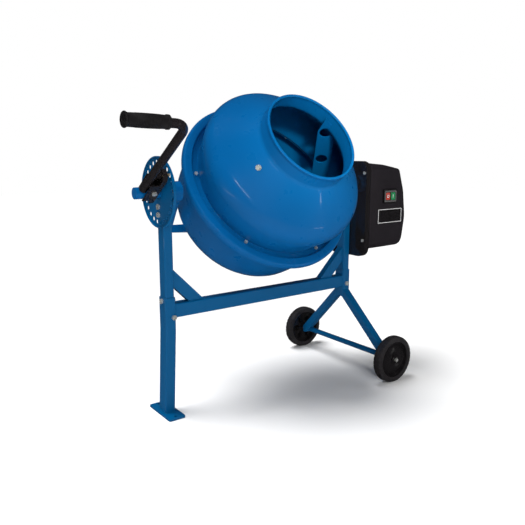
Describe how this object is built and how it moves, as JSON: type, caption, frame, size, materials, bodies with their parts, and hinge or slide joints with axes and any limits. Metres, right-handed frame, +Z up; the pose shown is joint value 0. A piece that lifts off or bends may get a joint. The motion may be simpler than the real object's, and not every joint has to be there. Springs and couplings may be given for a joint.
{
  "type": "concrete mixer",
  "caption": "Tilting-drum concrete mixer: split steel drum in a yoke on a tube stand, motor housing, locking disc with hand lever, foot plate and transport wheels.",
  "frame": {"origin": "on the ground, under the middle of the outline", "axes": "+Z up, +X from the lever side towards the motor housing along the tilt axis, -Y is the side that the drum mouth leans to"},
  "size_m": [1.084, 0.5514, 0.8977],
  "materials": {
    "blue_paint": "glossy powder coat",
    "zinc_plate": "bright zinc plate",
    "machined_steel": "machined",
    "cast_gear": "as cast, greased",
    "black_gloss_plastic": "glossy",
    "dark_plastic": "satin moulded",
    "black_paint": "semi-gloss",
    "black_rubber": "matt",
    "tyre_rubber": "moulded tread",
    "brass_pin": "bright",
    "green_plastic": "glossy",
    "red_plastic": "glossy"
  },
  "bodies": {
    "frame": {"support_leg": "blue_paint", "foot_plate": "blue_paint", "cross_beam": "blue_paint", "left_post": "blue_paint", "right_post": "blue_paint", "right_sleeve": "blue_paint", "left_brace": "blue_paint", "right_brace": "blue_paint", "trunnion_bushes": "machined_steel", "locking_disc": "blue_paint", "strut_front": "blue_paint", "strut_rear": "blue_paint", "axle_tube": "blue_paint", "wheel_axle": "zinc_plate", "frame_bolts": "zinc_plate", "axle_retainers": "zinc_plate", "motor_tray": "black_gloss_plastic", "tray_bolts": "zinc_plate", "motor_cover": "dark_plastic", "cover_screws": "zinc_plate", "motor_body": "machined_steel", "motor_mount": "machined_steel", "drive_belt": "black_rubber", "switch_housing": "black_gloss_plastic", "power_inlet": "black_gloss_plastic"},
    "yoke": {"yoke_arm_left": "blue_paint", "yoke_arm_right": "blue_paint", "yoke_cross": "blue_paint", "left_trunnion": "blue_paint", "right_trunnion": "blue_paint", "drum_shaft": "machined_steel", "shaft_nut": "zinc_plate", "lever_bracket": "black_paint", "pivot_bolt": "zinc_plate", "pinion_bearings": "machined_steel"},
    "lever": {"lever_tube": "black_paint", "hand_grip": "black_rubber", "lock_pin": "brass_pin"},
    "drum": {"drum_pan": "blue_paint", "drum_dome": "blue_paint", "drum_seal": "black_rubber", "ring_gear": "cast_gear", "paddle_upper": "blue_paint", "paddle_lower": "blue_paint", "clamp_bolts_set": "zinc_plate", "paddle_bolts": "zinc_plate", "drum_hub": "blue_paint", "hub_bearings": "machined_steel"},
    "drive_shaft": {"pinion": "machined_steel", "pinion_shaft": "machined_steel", "drive_pulley": "black_gloss_plastic"},
    "motor_rotor": {"rotor_shaft": "machined_steel", "motor_pulley": "machined_steel", "cooling_fan": "black_gloss_plastic"},
    "front_wheel": {"front_tyre": "tyre_rubber", "front_rim": "black_gloss_plastic"},
    "rear_wheel": {"rear_tyre": "tyre_rubber", "rear_rim": "black_gloss_plastic"},
    "start_button": {"start_button": "green_plastic"},
    "stop_button": {"stop_button": "red_plastic"}
  },
  "joints": [
    {"name": "drum_tilt", "type": "hinge", "parent": "frame", "child": "yoke", "pos_m": [0.00427, 0.01402, 0.6235], "axis": [1, 0, 0], "range_deg": [-105, 75]},
    {"name": "drum_spin", "type": "hinge", "parent": "yoke", "child": "drum", "pos_m": [0.00927, 0.01402, 0.6235], "axis": [0, -0.8192, 0.5736], "continuous": true},
    {"name": "drive_spin", "type": "hinge", "parent": "yoke", "child": "drive_shaft", "pos_m": [0.37127, 0.01402, 0.6235], "axis": [1, 0, 0], "continuous": true},
    {"name": "motor_spin", "type": "hinge", "parent": "frame", "child": "motor_rotor", "pos_m": [0.37127, 0.01402, 0.478], "axis": [1, 0, 0], "continuous": true},
    {"name": "lever_lock", "type": "hinge", "parent": "yoke", "child": "lever", "pos_m": [-0.37373, -0.00974, 0.64013], "axis": [0, 0.5736, 0.8192], "range_deg": [0, 5.4]},
    {"name": "front_wheel_spin", "type": "hinge", "parent": "frame", "child": "front_wheel", "pos_m": [0.35227, -0.20798, 0.075], "axis": [0, 1, 0], "continuous": true},
    {"name": "rear_wheel_spin", "type": "hinge", "parent": "frame", "child": "rear_wheel", "pos_m": [0.35227, 0.23602, 0.075], "axis": [0, 1, 0], "continuous": true},
    {"name": "start_press", "type": "slide", "parent": "frame", "child": "start_button", "axis": [0, 1, 0], "range_m": [0, 0.003], "stiffness_N_per_m": 400},
    {"name": "stop_press", "type": "slide", "parent": "frame", "child": "stop_button", "axis": [0, 1, 0], "range_m": [0, 0.003], "stiffness_N_per_m": 400}
  ],
  "couplings": [
    {"joint": "drive_spin", "follows": "drum_spin", "ratio": -16.5},
    {"joint": "motor_spin", "follows": "drum_spin", "ratio": -84.562}
  ]
}
